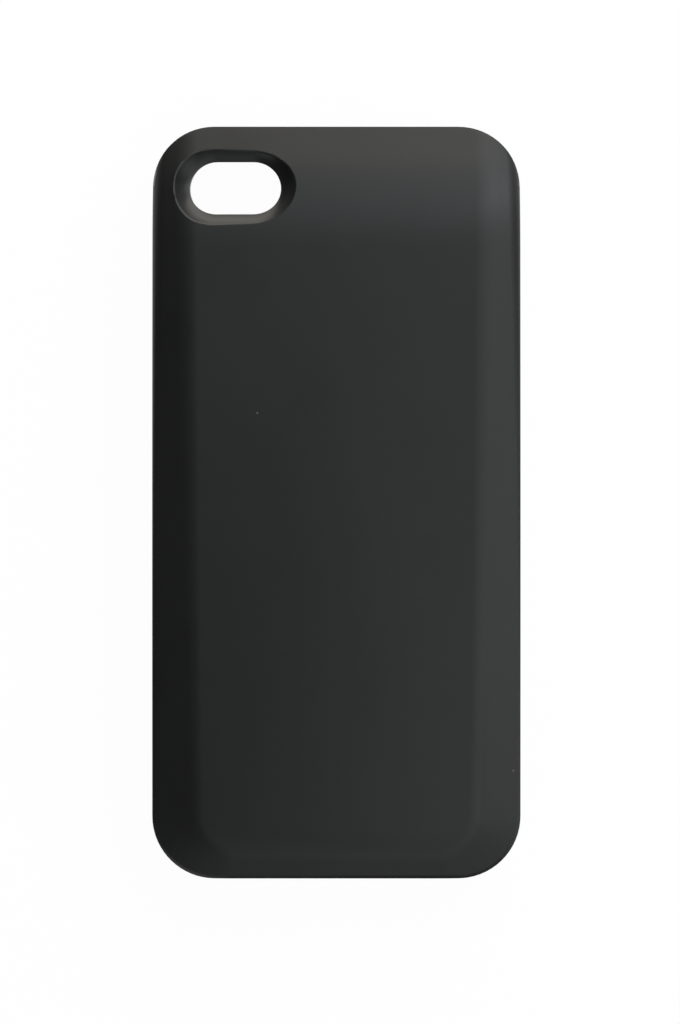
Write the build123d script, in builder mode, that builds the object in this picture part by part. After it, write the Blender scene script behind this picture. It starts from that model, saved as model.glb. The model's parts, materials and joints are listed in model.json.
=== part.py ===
from build123d import *
import os
from math import cos, hypot, radians, sin, tan

# Battery charging case for a phone. It lies on its open front with its back up: X runs across the case,
# Y runs towards the camera end and Z runs up through the back. The origin is at the middle of the front
# rim. Sizes are in millimetres and angles in degrees.

# The phone that the case holds
phone_width = 58.6
phone_length = 115.2
phone_thickness = 9.3
phone_gap = 0.15
phone_play = 0.1
camera_from_side = 12.1
camera_from_top = 8.65

# Rear cover walls
side_wall = 1.85
top_wall = 1.9
end_wall = 1.8
back_wall = 1.6
chin_length = 10.6
corner_radius = 10.5
lip_thickness = 1.0
lip_overlap = 0.7
lip_bevel = 0.4
rim_bevel = 0.6
edge_bevel = 0.8

# Crowned back: the shoulders are plain facets at the bottom end and turn into a round at the top end
shoulder_angle = 17.0
end_shoulder_width = 9.25
end_crest_radius = 8.0
end_facet_width = 8.1
end_edge_radius = 1.5
top_shoulder_width = 7.45
top_facet_width = 0.65
top_edge_radius = 4.2
edge_angle = 80.0
edge_overhang = 0.2
end_facet_length = 5.5
field_corner_radius = 6.0
slope_length = 20.2
slope_radius = 40.0
slope_angle = 20.5
slope_rows = 5
seam_rows = 3
corner_ease = 0.15
tangent_ease = 0.01
overrun = 2.0

# Camera opening
camera_width = 15.55
camera_height = 9.4
flare_width = 20.0
flare_height = 13.9
flare_depth = 1.0
flare_round = 0.8

# Windows for the phone's keys and headphone socket
side_window_length = 31.0
side_window_height = 6.4
side_window_from_top = 27.6
sleep_window_width = 13.0
sleep_window_height = 6.4
sleep_from_side = 14.6
headphone_window_width = 9.6
headphone_window_height = 7.0
headphone_from_side = 13.2
window_flare = 0.5

# Inner tray
tray_thickness = 1.0
tray_gap = 0.1
tray_margin = 0.75
tray_ledge = 2.2
bay_end_wall = 1.2
chin_panel = 1.2
sound_slot_length = 7.0
sound_slot_width = 0.9
sound_slot_pitch = 1.9
sound_slot_count = 3
sound_slot_inset = 10.45
sound_port_width = 8.0
sound_port_height = 3.6

# Battery space and cell
cavity_inset = 5.3
cavity_draft = 10.0
cavity_corner = 3.0
cavity_slope_gap = 1.8
cavity_overlap = 3.6
cell_thickness = 3.4
cell_edge_bevel = 0.8
cell_swell_gap = 0.2
cell_gap = 0.4
cell_end_gap = 1.5
lead_space = 10.0
tape_thickness = 0.2
tape_margin = 3.0
seal_length = 4.5
seal_thickness = 0.4
seal_margin = 2.0
cell_board_width = 26.0
cell_board_thickness = 0.6
tab_width = 3.0
tab_length = 2.4
tab_sheet = 0.15
tab_spacing = 18.0
lead_diameter = 1.0
lead_spacing = 6.4
lead_bend = 2.0
lead_landing = 1.0

# Screws and the posts that take them
tray_screw_diameter = 1.6
tray_screw_head = 3.0
tray_screw_bite = 2.8
tray_post_radius = 1.8
tray_post_inset = 1.8
tray_screw_rows = 2
tray_row_margin = 3.0
board_screw_diameter = 1.6
board_screw_head = 2.8
board_screw_head_height = 0.8
board_screw_bite = 3.0
board_post_radius = 2.0
board_post_x = 24.0
screw_gap = 0.03

# Main board and the parts on it
board_thickness = 0.8
board_gap = 0.3
dock_width = 21.6
dock_height = 2.6
dock_corner = 0.6
dock_sheet = 0.25
dock_reach = 6.5
dock_gap = 0.2
dock_housing_width = 24.8
dock_housing_depth = 4.8
dock_housing_front = 1.9
dock_seat = 2.95
dock_tongue_width = 20.4
dock_tongue_thickness = 0.9
dock_tongue_setback = 0.7
dock_contact_count = 30
dock_contact_pitch = 0.65
dock_contact_width = 0.32
dock_contact_thickness = 0.12
dock_contact_setback = 0.5
usb_width = 7.6
usb_height = 2.6
usb_depth = 5.0
usb_sheet = 0.3
usb_bevel = 0.9
usb_recess = 0.5
usb_gap = 0.2
usb_base_depth = 1.3
usb_tongue_width = 4.0
usb_tongue_thickness = 0.7
usb_tongue_setback = 0.8
usb_contact_count = 5
usb_contact_pitch = 0.65
usb_contact_width = 0.3
usb_contact_thickness = 0.12
button_x = 14.0
button_width = 7.0
button_height = 2.8
button_recess = 0.1
button_gap = 0.18
button_bevel = 0.3
flange_width = 8.6
flange_height = 4.0
flange_thickness = 0.6
flange_gap = 0.2
button_travel = 0.4
travel_gap = 0.2
chin_headroom = 0.75
switch_width = 4.6
switch_depth = 2.4
plunger_width = 1.6
plunger_height = 1.0
plunger_gap = 0.15
plunger_engagement = 0.8
led_count = 4
led_pitch = 2.6
led_row_x = -14.0
led_width = 1.6
led_depth = 0.8
led_height = 1.2
guide_diameter = 1.5
guide_gap = 0.12
guide_recess = 0.1
guide_bar_height = 2.2
guide_bar_depth = 1.0
guide_bar_margin = 1.0
controller_size = 4.0
controller_height = 0.9
controller_x = -8.2
converter_size = 3.0
converter_height = 0.9
converter_x = 8.2
inductor_size = 4.2
inductor_height = 2.0
inductor_corner = 0.8
inductor_x = 19.3
capacitor_length = 1.6
capacitor_width = 0.8
capacitor_height = 0.8
capacitor_xs = (-20.0, -17.0, -14.0, 12.5)
capacitor_wall_gap = 1.2

# Overall sizes and main levels
case_width = phone_width + 2 * (phone_gap + side_wall)
bay_width = phone_width + 2 * phone_gap
bay_length = phone_length + 2 * phone_gap
case_length = top_wall + bay_length + chin_length
top_y = case_length / 2
end_y = -top_y
bay_top_y = top_y - top_wall
bay_end_y = bay_top_y - bay_length
inner_end_y = end_y + end_wall
inner_length = bay_top_y - inner_end_y
inner_middle_y = (bay_top_y + inner_end_y) / 2
inner_radius = corner_radius - side_wall
tray_front_z = lip_thickness + phone_thickness + phone_play
tray_back_z = tray_front_z + tray_thickness
cell_front_z = tray_back_z + tape_thickness
cell_back_z = cell_front_z + cell_thickness
cavity_z = cell_back_z + cell_swell_gap
case_height = cavity_z + back_wall
dock_axis_z = (lip_thickness + tray_front_z) / 2
board_front_z = dock_axis_z + dock_seat
board_back_z = board_front_z + board_thickness
port_axis_z = board_back_z + usb_height / 2
chin_ceiling_z = port_axis_z + flange_height / 2 + chin_headroom

# Places along the case
slope_y = top_y - slope_length
cavity_top_y = slope_y - cavity_slope_gap
cavity_end_y = bay_end_y - cavity_overlap
cavity_width = case_width - 2 * cavity_inset
tray_top_y = cavity_top_y + tray_ledge
tray_end_y = bay_end_y - bay_end_wall
tray_width = bay_width - 2 * tray_margin
cell_top_y = cavity_top_y - cell_end_gap
cell_end_y = bay_end_y + lead_space
cell_length = cell_top_y - cell_end_y
seal_end_y = cell_end_y - seal_length
flange_y = inner_end_y + flange_gap
button_back_y = flange_y + flange_thickness
switch_y = button_back_y + button_travel + travel_gap
board_end_y = switch_y
board_top_y = tray_end_y - board_gap
board_middle_y = (board_end_y + board_top_y) / 2
camera_x = phone_width / 2 - camera_from_side
camera_y = bay_top_y - phone_gap - camera_from_top
sound_slot_x = bay_width / 2 - sound_slot_inset
tray_post_x = cavity_width / 2 - tray_post_inset
tray_post_low_y = cell_end_y + tray_row_margin
tray_post_high_y = cell_top_y - tray_row_margin
tray_row_pitch = (tray_post_high_y - tray_post_low_y) / (tray_screw_rows - 1)
cell_width = 2 * (tray_post_x - tray_post_radius - cell_gap)
seal_z = (cell_front_z + cell_back_z - seal_thickness) / 2
cell_board_z = seal_z + seal_thickness
lead_z = cell_board_z + cell_board_thickness + lead_diameter / 2
lead_y = board_top_y - lead_landing

lean = radians(shoulder_angle)
mouth_steps = (-1.4, 1.5)
post_spots = [(side * board_post_x, board_middle_y) for side in (-1, 1)]
tray_rows = [tray_post_low_y + row * tray_row_pitch for row in range(tray_screw_rows)]
tray_screw_spots = [(side * tray_post_x, row_y, tray_front_z) for side in (-1, 1) for row_y in tray_rows]


def falling_arc(start_x, start_z, radius, start_angle, end_angle):
    """First, middle and last point of an arc that falls away from a point between two slopes."""
    points = []
    for angle in (start_angle, (start_angle + end_angle) / 2, end_angle):
        across = radius * (sin(angle) - sin(start_angle))
        down = radius * (cos(start_angle) - cos(angle))
        points.append((start_x + across, start_z - down))
    return points


def countersunk_form(gap):
    """Countersunk screw with its head's face at the origin and its shank upwards, grown by a gap."""
    head = tray_screw_head / 2 + gap
    shank = tray_screw_diameter / 2 + gap
    tip = tray_thickness + tray_screw_bite
    with BuildPart() as form:
        with BuildSketch(Plane.XZ):
            with BuildLine():
                Polyline(
                    (0, 0), (head, 0), (shank, tray_thickness), (shank, tip), (0, tip), close=True
                )
            make_face()
        revolve(axis=Axis.Z)
    return form.part


tray_screw = countersunk_form(0)
tray_screw_hole = countersunk_form(screw_gap)


def slope_height(y):
    """Height of the back over the top slope, at a place along the case."""
    run = max(y - slope_y, 0.0)
    bend = slope_radius * sin(radians(slope_angle))
    if run < bend:
        return case_height - slope_radius + (slope_radius**2 - run**2) ** 0.5
    fall = slope_radius * (1 - cos(radians(slope_angle)))
    return case_height - fall - (run - bend) * tan(radians(slope_angle))


# Crown of the back, lofted from the bottom end's section to the top end's section
first_y = end_y - overrun
last_y = top_y + overrun
row_pitch = (last_y - slope_y) / slope_rows
seam_y = slope_y - seam_rows * row_pitch
row_ys = [seam_y + row * row_pitch for row in range(seam_rows + slope_rows + 1)]
crown_reach = case_width / 2 + 4 * overrun
edge_run = top_edge_radius * (sin(radians(edge_angle)) - sin(lean))
top_crest_radius = (top_shoulder_width + edge_overhang - top_facet_width - edge_run) / sin(lean)


def between_ends(end_size, top_size, y):
    """Size at a place along the case, between its values at the bottom end and at the top end."""
    return end_size + (top_size - end_size) * (y - first_y) / (last_y - first_y)


def crown_section(y):
    """Half of a section across the back: flat field, crest, facet and edge round."""
    back_z = slope_height(y)
    field = case_width / 2 - between_ends(end_shoulder_width, top_shoulder_width, y)
    crest_radius = between_ends(end_crest_radius, top_crest_radius, y)
    crest = falling_arc(field, back_z, crest_radius, 0.0, lean)
    facet_width = between_ends(end_facet_width, top_facet_width, y)
    facet_end = (crest[2][0] + facet_width, crest[2][1] - facet_width * tan(lean))
    edge_radius = between_ends(end_edge_radius, top_edge_radius, y)
    edge = falling_arc(*facet_end, edge_radius, lean, radians(edge_angle))
    with BuildSketch(Plane.XZ.offset(-y)) as section:
        with BuildLine():
            Polyline(
                (field, back_z),
                (0, back_z),
                (0, -overrun),
                (crown_reach, -overrun),
                (crown_reach, edge[2][1] - overrun),
                edge[2],
            )
            ThreePointArc(*edge)
            Line(facet_end, crest[2])
            ThreePointArc(*crest)
        make_face()
    return section.sketch


with BuildPart() as crown:
    loft([crown_section(first_y), crown_section(seam_y)], ruled=True)
    loft([crown_section(y) for y in row_ys])
    mirror(about=Plane.YZ)

# Side profile with the end facet
facet_y = end_y + end_facet_length
roof_z = case_height + overrun
end_crest = falling_arc(-facet_y, case_height + tangent_ease, end_crest_radius, 0.0, lean)
end_crest = [(-run, height) for run, height in end_crest]
end_foot_z = end_crest[2][1] - (end_crest[2][0] - first_y) * tan(lean)

with BuildPart() as side_profile:
    with BuildSketch(Plane.YZ):
        with BuildLine():
            Polyline(
                end_crest[0],
                (facet_y, roof_z),
                (last_y, roof_z),
                (last_y, -overrun),
                (first_y, -overrun),
                (first_y, end_foot_z),
                end_crest[2],
            )
            ThreePointArc(*end_crest)
        make_face()
    extrude(amount=case_width, both=True)

# Waste over the two bottom corners, where the shoulder turns round the end as a cone
corner_y = facet_y + field_corner_radius
corner_shoulder = between_ends(end_shoulder_width, top_shoulder_width, corner_y)
corner_x = case_width / 2 - corner_shoulder - field_corner_radius
corner_span = case_width / 2 - corner_x + 2 * overrun
dome_radius = field_corner_radius + corner_ease
dome_crest = falling_arc(dome_radius, case_height + tangent_ease, end_crest_radius, 0.0, lean)
dome_reach = 2 * corner_span
dome_foot_z = dome_crest[2][1] - (dome_reach - dome_crest[2][0]) * tan(lean)

with BuildPart() as corner_dome:
    with BuildSketch(Plane.XZ):
        with BuildLine():
            Polyline(
                dome_crest[0],
                (0, dome_crest[0][1]),
                (0, -overrun),
                (dome_reach, -overrun),
                (dome_reach, dome_foot_z),
                dome_crest[2],
            )
            ThreePointArc(*dome_crest)
        make_face()
    revolve(axis=Axis.Z)

with BuildPart() as corner_waste:
    with Locations((corner_x, corner_y, 0)):
        Box(corner_span, corner_span, roof_z, align=(Align.MIN, Align.MAX, Align.MIN))
        add(corner_dome.part, mode=Mode.SUBTRACT)
    mirror(about=Plane.YZ)


def flared_mouth(plane, width, height, mouth_width, mouth_height, depth):
    """Tapered cutter that opens a slot from its own size to its mouth's size at a plane."""
    with BuildPart() as mouth:
        for step in mouth_steps:
            with BuildSketch(plane.offset(step * depth)):
                SlotOverall(
                    mouth_width + step * (mouth_width - width),
                    mouth_height + step * (mouth_height - height),
                )
        loft(ruled=True)
    return mouth.part


# The camera opening's mouth follows the slope and the crest that it cuts
camera_lean = min(camera_y - slope_y, slope_radius * sin(radians(slope_angle))) / slope_radius
camera_field = case_width / 2 - between_ends(end_shoulder_width, top_shoulder_width, camera_y)
camera_crest = between_ends(end_crest_radius, top_crest_radius, camera_y)
crest_overlap = max(camera_x + flare_width / 2 - camera_field, 0.0)
crest_drop = camera_crest - (camera_crest**2 - crest_overlap**2) ** 0.5
slope_sag = flare_height**2 / (8 * slope_radius)
mouth_sink = (crest_drop / 2 + slope_sag) / 2
mouth_roll = crest_drop / flare_width
camera_plane = Plane(
    origin=(-camera_x, camera_y, slope_height(camera_y) - mouth_sink),
    x_dir=(1, 0, mouth_roll),
    z_dir=(-mouth_roll, camera_lean, (1 - camera_lean**2) ** 0.5),
)
camera_mouth = flared_mouth(
    camera_plane, camera_width, camera_height, flare_width, flare_height, flare_depth
)


def on_camera_edge(edge):
    """Whether an edge runs round the outside of the camera opening's mouth."""
    straight = (camera_width - camera_height) / 2
    spots = [camera_plane.to_local_coords(edge.position_at(share)) for share in (0, 1)]
    reaches = [hypot(max(abs(spot.X) - straight, 0.0), spot.Y) for spot in spots]
    return min(reaches) > (camera_height + flare_height) / 4


# Windows for the side keys, the sleep key and the headphone socket: plane, width, height and wall
sleep_x = sleep_from_side - phone_width / 2
headphone_x = phone_width / 2 - headphone_from_side
side_plane = Plane(
    origin=(case_width / 2, bay_top_y - side_window_from_top, dock_axis_z), x_dir=(0, 1, 0), z_dir=(1, 0, 0)
)
sleep_plane = Plane(origin=(sleep_x, top_y, dock_axis_z), x_dir=(1, 0, 0), z_dir=(0, 1, 0))
headphone_plane = Plane(origin=(headphone_x, top_y, dock_axis_z), x_dir=(1, 0, 0), z_dir=(0, 1, 0))
windows = (
    (side_plane, side_window_length, side_window_height, side_wall),
    (sleep_plane, sleep_window_width, sleep_window_height, top_wall),
    (headphone_plane, headphone_window_width, headphone_window_height, top_wall),
)
spread = 2 * window_flare
window_mouths = [
    flared_mouth(plane, width, height, width + spread, height + spread, window_flare)
    for plane, width, height, wall in windows
]

# Rear cover: back, walls, front lip and posts in one moulding
with BuildPart() as rear_cover:
    with BuildSketch():
        RectangleRounded(case_width, case_length, corner_radius)
    extrude(amount=roof_z)
    add(crown.part, mode=Mode.INTERSECT)
    add(side_profile.part, mode=Mode.INTERSECT)
    add(corner_waste.part, mode=Mode.SUBTRACT)

    # Bevels where the walls meet the back and along the front rim
    walls = rear_cover.faces().filter_by(lambda face: abs(face.normal_at().Z) < 0.001)
    upright = rear_cover.edges().filter_by(Axis.Z)
    rim = rear_cover.edges().group_by(Axis.Z)[0]
    chamfer((walls.edges() - upright - rim), edge_bevel)
    chamfer(rear_cover.edges().group_by(Axis.Z)[0], rim_bevel)

    # Phone bay behind the lip
    with BuildSketch(Plane.XY.offset(lip_thickness)):
        with Locations((0, inner_middle_y)):
            RectangleRounded(bay_width, inner_length, inner_radius)
    extrude(amount=tray_front_z - lip_thickness, mode=Mode.SUBTRACT)

    # Front opening inside the lip, and the full opening of the chin
    with BuildSketch():
        with Locations((0, inner_middle_y)):
            RectangleRounded(
                bay_width - 2 * lip_overlap, inner_length - 2 * lip_overlap, inner_radius - lip_overlap
            )
    extrude(amount=lip_thickness, mode=Mode.SUBTRACT)
    chamfer(rear_cover.faces().sort_by(Axis.Z)[0].inner_wires().edges(), lip_bevel)
    with BuildSketch():
        with Locations((0, inner_middle_y)):
            RectangleRounded(bay_width, inner_length, inner_radius)
        with Locations((0, inner_end_y)):
            Rectangle(bay_width, 2 * (bay_end_y - inner_end_y), mode=Mode.INTERSECT)
    extrude(amount=chin_ceiling_z, mode=Mode.SUBTRACT)

    # Seat of the tray, and the battery space over it
    with BuildSketch(Plane.XY.offset(tray_front_z)):
        with Locations((0, (tray_top_y + bay_end_y) / 2)):
            Rectangle(tray_width, tray_top_y - bay_end_y)
    extrude(amount=tray_thickness, mode=Mode.SUBTRACT)
    with BuildSketch(Plane.XY.offset(tray_back_z)):
        with Locations((0, (cavity_top_y + cavity_end_y) / 2)):
            RectangleRounded(cavity_width, cavity_top_y - cavity_end_y, cavity_corner)
    extrude(amount=cavity_z - tray_back_z, taper=cavity_draft, mode=Mode.SUBTRACT)

    # Posts for the tray screws and the board screws
    with BuildSketch(Plane.XY.offset(tray_back_z)):
        with Locations(*[(x, y) for x, y, z in tray_screw_spots]):
            Circle(tray_post_radius)
    extrude(amount=cavity_z - tray_back_z)
    with BuildSketch(Plane.XY.offset(board_back_z)):
        with Locations(*post_spots):
            Circle(board_post_radius)
    extrude(amount=chin_ceiling_z - board_back_z)
    with BuildSketch(Plane.XY.offset(tray_back_z)):
        with Locations(*[(x, y) for x, y, z in tray_screw_spots]):
            Circle(tray_screw_diameter / 2 + screw_gap)
    extrude(amount=tray_screw_bite + screw_gap, mode=Mode.SUBTRACT)
    with BuildSketch(Plane.XY.offset(board_back_z)):
        with Locations(*post_spots):
            Circle(board_screw_diameter / 2 + screw_gap)
    extrude(amount=board_screw_bite + screw_gap, mode=Mode.SUBTRACT)

    # Camera opening
    with BuildSketch(Plane.XY.offset(lip_thickness)):
        with Locations((-camera_x, camera_y)):
            SlotOverall(camera_width, camera_height)
    extrude(amount=roof_z, mode=Mode.SUBTRACT)
    add(camera_mouth, mode=Mode.SUBTRACT)
    fillet(rear_cover.edges(Select.LAST).filter_by(on_camera_edge), flare_round)

    # Windows in the side and top walls
    for plane, width, height, wall in windows:
        with BuildSketch(plane):
            SlotOverall(width, height)
        extrude(amount=-2 * wall, mode=Mode.SUBTRACT)
    add(window_mouths, mode=Mode.SUBTRACT)

    # Holes in the bottom end for the charging socket, the button and the lights
    with BuildSketch(Plane.XZ.offset(-end_y)):
        with Locations((0, port_axis_z)):
            RectangleRounded(usb_width + 2 * usb_gap, usb_height + 2 * usb_gap, 3 * usb_gap)
        with Locations((button_x, port_axis_z)):
            SlotOverall(button_width + 2 * button_gap, button_height + 2 * button_gap)
        with Locations((led_row_x, port_axis_z)):
            with GridLocations(led_pitch, led_pitch, led_count, 1):
                Circle(guide_diameter / 2 + guide_gap)
    extrude(amount=-end_wall, mode=Mode.SUBTRACT)
rear_cover.part.label = "rear_cover"

# Inner tray: bay floor, bay end wall and front chin panel in one moulding
with BuildPart() as inner_tray:
    with BuildSketch(Plane.XY.offset(tray_front_z)):
        with Locations((0, (tray_top_y - tray_gap + tray_end_y) / 2)):
            Rectangle(tray_width - 2 * tray_gap, tray_top_y - tray_gap - tray_end_y)
    extrude(amount=tray_thickness)
    with BuildSketch():
        with Locations((0, inner_middle_y)):
            RectangleRounded(
                bay_width - 2 * tray_gap, inner_length - 2 * tray_gap, inner_radius - tray_gap
            )
        with Locations((0, (bay_end_y + tray_end_y) / 2)):
            Rectangle(bay_width, bay_end_wall, mode=Mode.INTERSECT)
    extrude(amount=tray_front_z)
    with BuildSketch():
        with Locations((0, inner_middle_y)):
            RectangleRounded(
                bay_width - 2 * tray_gap, inner_length - 2 * tray_gap, inner_radius - tray_gap
            )
        with Locations((0, inner_end_y)):
            Rectangle(bay_width, 2 * (bay_end_y - inner_end_y), mode=Mode.INTERSECT)
    extrude(amount=chin_panel)

    # Slot for the dock plug and ports for the phone's sound
    with BuildSketch(Plane.XZ.offset(-tray_end_y)):
        with Locations((0, dock_axis_z)):
            RectangleRounded(dock_width + 2 * dock_gap, dock_height + 2 * dock_gap, dock_corner + dock_gap)
        with Locations((0, dock_axis_z)):
            with GridLocations(2 * sound_slot_x, sound_port_height, 2, 1):
                Rectangle(sound_port_width, sound_port_height)
    extrude(amount=-bay_end_wall, mode=Mode.SUBTRACT)
    with BuildSketch():
        with Locations((0, (tray_end_y + inner_end_y) / 2)):
            with GridLocations(2 * sound_slot_x, sound_slot_pitch, 2, sound_slot_count):
                Rectangle(sound_slot_length, sound_slot_width)
    extrude(amount=chin_panel, mode=Mode.SUBTRACT)

    # Countersunk holes for the tray screws
    with Locations(*tray_screw_spots):
        add(tray_screw_hole, mode=Mode.SUBTRACT)
inner_tray.part.label = "inner_tray"

# Battery cell: a flat pouch with a sealed edge towards the chin
with BuildPart() as battery_cell:
    with BuildSketch(Plane.XY.offset(cell_front_z)):
        with Locations((0, (cell_top_y + cell_end_y) / 2)):
            Rectangle(cell_width, cell_length)
    extrude(amount=cell_thickness)
    chamfer(battery_cell.edges().group_by(Axis.Z)[0], cell_edge_bevel)
    chamfer(battery_cell.edges().group_by(Axis.Z)[-1], cell_edge_bevel)
    with BuildSketch(Plane.XY.offset(seal_z)):
        with Locations((0, cell_end_y)):
            Rectangle(cell_width - 2 * seal_margin, 2 * seal_length)
    extrude(amount=seal_thickness)
battery_cell.part.label = "battery_cell"

with BuildPart() as battery_tape:
    with BuildSketch(Plane.XY.offset(tray_back_z)):
        with Locations((0, (cell_top_y + cell_end_y) / 2)):
            Rectangle(cell_width - 2 * tape_margin, cell_length - 2 * tape_margin)
    extrude(amount=tape_thickness)
battery_tape.part.label = "battery_tape"

# Protection board on the sealed edge, with the two tabs that fold round both
with BuildPart() as cell_protection_board:
    with BuildSketch(Plane.XY.offset(cell_board_z)):
        with Locations((0, seal_end_y)):
            Rectangle(cell_board_width, seal_length - cell_gap, align=(Align.CENTER, Align.MIN))
    extrude(amount=cell_board_thickness)
cell_protection_board.part.label = "cell_protection_board"

fold_height = seal_thickness + cell_board_thickness
fold_z = seal_z + fold_height / 2
with BuildPart() as cell_tabs:
    for tab_x in (-tab_spacing / 2, tab_spacing / 2):
        with BuildSketch(Plane.YZ.offset(tab_x)):
            with Locations((seal_end_y - tab_sheet, fold_z)):
                Rectangle(tab_length, fold_height + 2 * tab_sheet, align=(Align.MIN, Align.CENTER))
            with Locations((seal_end_y, fold_z)):
                Rectangle(tab_length, fold_height, align=(Align.MIN, Align.CENTER), mode=Mode.SUBTRACT)
        extrude(amount=tab_width / 2, both=True)
cell_tabs.part.label = "cell_tabs"


def battery_lead(lead_x):
    """Insulated wire from the protection board over the tray's end and down to the main board."""
    start = (lead_x, seal_end_y + tab_length, lead_z)
    with BuildPart() as lead:
        with BuildLine() as route:
            FilletPolyline(start, (lead_x, lead_y, lead_z), (lead_x, lead_y, board_back_z), radius=lead_bend)
        with BuildSketch(Plane(origin=start, z_dir=(0, -1, 0))):
            RegularPolygon(lead_diameter / 2, 8)
        sweep(path=route.line)
    return lead


battery_lead_positive = battery_lead(lead_spacing / 2)
battery_lead_positive.part.label = "battery_lead_positive"
battery_lead_negative = battery_lead(-lead_spacing / 2)
battery_lead_negative.part.label = "battery_lead_negative"

# Main board in the chin, shaped to the bottom corners
with BuildPart() as main_board:
    with BuildSketch(Plane.XY.offset(board_front_z)):
        with Locations((0, inner_middle_y)):
            RectangleRounded(
                bay_width - 2 * board_gap, inner_length - 2 * board_gap, inner_radius - board_gap
            )
        with Locations((0, board_middle_y)):
            Rectangle(bay_width, board_top_y - board_end_y, mode=Mode.INTERSECT)
        with Locations(*post_spots):
            Circle(board_screw_diameter / 2 + screw_gap, mode=Mode.SUBTRACT)
    extrude(amount=board_thickness)
main_board.part.label = "main_board"

# Dock plug: base on the board's front side, sleeve, blade and contacts that enter the phone
dock_plane = Plane.XZ.offset(-tray_end_y)
dock_length = bay_end_wall + dock_reach

with BuildPart() as dock_plug_housing:
    with BuildSketch(dock_plane):
        with Locations((0, board_front_z)):
            Rectangle(dock_housing_width, dock_seat + dock_housing_front, align=(Align.CENTER, Align.MAX))
    extrude(amount=dock_housing_depth)
    chamfer(dock_plug_housing.edges().filter_by(Axis.Z), dock_corner)
dock_plug_housing.part.label = "dock_plug_housing"

with BuildPart() as dock_plug_shell:
    with BuildSketch(dock_plane):
        with Locations((0, dock_axis_z)):
            RectangleRounded(dock_width, dock_height, dock_corner)
            RectangleRounded(
                dock_width - 2 * dock_sheet,
                dock_height - 2 * dock_sheet,
                dock_corner - dock_sheet,
                mode=Mode.SUBTRACT,
            )
    extrude(amount=-dock_length)
dock_plug_shell.part.label = "dock_plug_shell"

with BuildPart() as dock_plug_tongue:
    with BuildSketch(dock_plane):
        with Locations((0, dock_axis_z)):
            Rectangle(dock_tongue_width, dock_tongue_thickness)
    extrude(amount=dock_tongue_setback - dock_length)
dock_plug_tongue.part.label = "dock_plug_tongue"

with BuildPart() as dock_plug_contacts:
    with BuildSketch(dock_plane):
        with Locations((0, dock_axis_z + (dock_tongue_thickness + dock_contact_thickness) / 2)):
            with GridLocations(dock_contact_pitch, 1, dock_contact_count, 1):
                Rectangle(dock_contact_width, dock_contact_thickness)
    extrude(amount=dock_tongue_setback + dock_contact_setback - dock_length)
dock_plug_contacts.part.label = "dock_plug_contacts"

# Charging socket on the board's back side, its mouth in the bottom end
usb_y = end_y + usb_recess
usb_back_y = usb_y + usb_depth
usb_front_plane = Plane.XZ.offset(-usb_y)
usb_back_plane = Plane.XZ.offset(-usb_back_y)
usb_tongue_length = usb_depth - usb_base_depth - usb_tongue_setback


def usb_outline(plane, inset):
    """Outline of the socket, bevelled at its two far corners and set in by a wall."""
    half = usb_width / 2
    with BuildSketch(plane) as outline:
        with BuildLine():
            Polyline(
                (-half, board_back_z),
                (half, board_back_z),
                (half, board_back_z + usb_height - usb_bevel),
                (half - usb_bevel, board_back_z + usb_height),
                (usb_bevel - half, board_back_z + usb_height),
                (-half, board_back_z + usb_height - usb_bevel),
                close=True,
            )
        make_face()
        if inset > 0:
            offset(amount=-inset, kind=Kind.INTERSECTION, mode=Mode.REPLACE)
    return outline.sketch


with BuildPart() as usb_shell:
    extrude(usb_outline(usb_front_plane, 0), amount=-usb_depth)
    extrude(usb_outline(usb_front_plane, usb_sheet), amount=-usb_depth, mode=Mode.SUBTRACT)
usb_shell.part.label = "usb_shell"

with BuildPart() as usb_tongue:
    extrude(usb_outline(usb_back_plane, usb_sheet), amount=usb_base_depth)
    with BuildSketch(usb_back_plane.offset(usb_base_depth)):
        with Locations((0, port_axis_z)):
            Rectangle(usb_tongue_width, usb_tongue_thickness)
    extrude(amount=usb_tongue_length)
usb_tongue.part.label = "usb_tongue"

with BuildPart() as usb_contacts:
    with BuildSketch(usb_back_plane.offset(usb_base_depth)):
        with Locations((0, port_axis_z - (usb_tongue_thickness + usb_contact_thickness) / 2)):
            with GridLocations(usb_contact_pitch, 1, usb_contact_count, 1):
                Rectangle(usb_contact_width, usb_contact_thickness)
    extrude(amount=usb_tongue_length)
usb_contacts.part.label = "usb_contacts"

# Push button in the bottom end, held by its flange
button_y = end_y + button_recess
with BuildPart() as power_button:
    with BuildSketch(Plane.XZ.offset(-button_y)):
        with Locations((button_x, port_axis_z)):
            SlotOverall(button_width, button_height)
    extrude(amount=button_y - flange_y)
    chamfer(power_button.faces().sort_by(Axis.Y)[0].edges(), button_bevel)
    with BuildSketch(Plane.XZ.offset(-flange_y)):
        with Locations((button_x, port_axis_z)):
            SlotOverall(flange_width, flange_height)
    extrude(amount=-flange_thickness)
power_button.part.label = "power_button"

# Push switch behind the button, with room for its plunger's travel
switch_height = 2 * (port_axis_z - board_back_z)
plunger_room = plunger_engagement + button_travel + travel_gap
with BuildPart() as switch_body:
    with BuildSketch(Plane.XZ.offset(-switch_y)):
        with Locations((button_x, port_axis_z)):
            Rectangle(switch_width, switch_height)
    extrude(amount=-switch_depth)
    with BuildSketch(Plane.XZ.offset(-switch_y)):
        with Locations((button_x, port_axis_z)):
            Rectangle(plunger_width + 2 * plunger_gap, plunger_height + 2 * plunger_gap)
    extrude(amount=-plunger_room, mode=Mode.SUBTRACT)
switch_body.part.label = "switch_body"

with BuildPart() as switch_plunger:
    with BuildSketch(Plane.XZ.offset(-button_back_y)):
        with Locations((button_x, port_axis_z)):
            Rectangle(plunger_width, plunger_height)
    extrude(amount=button_back_y - switch_y - plunger_engagement)
switch_plunger.part.label = "switch_plunger"

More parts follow.
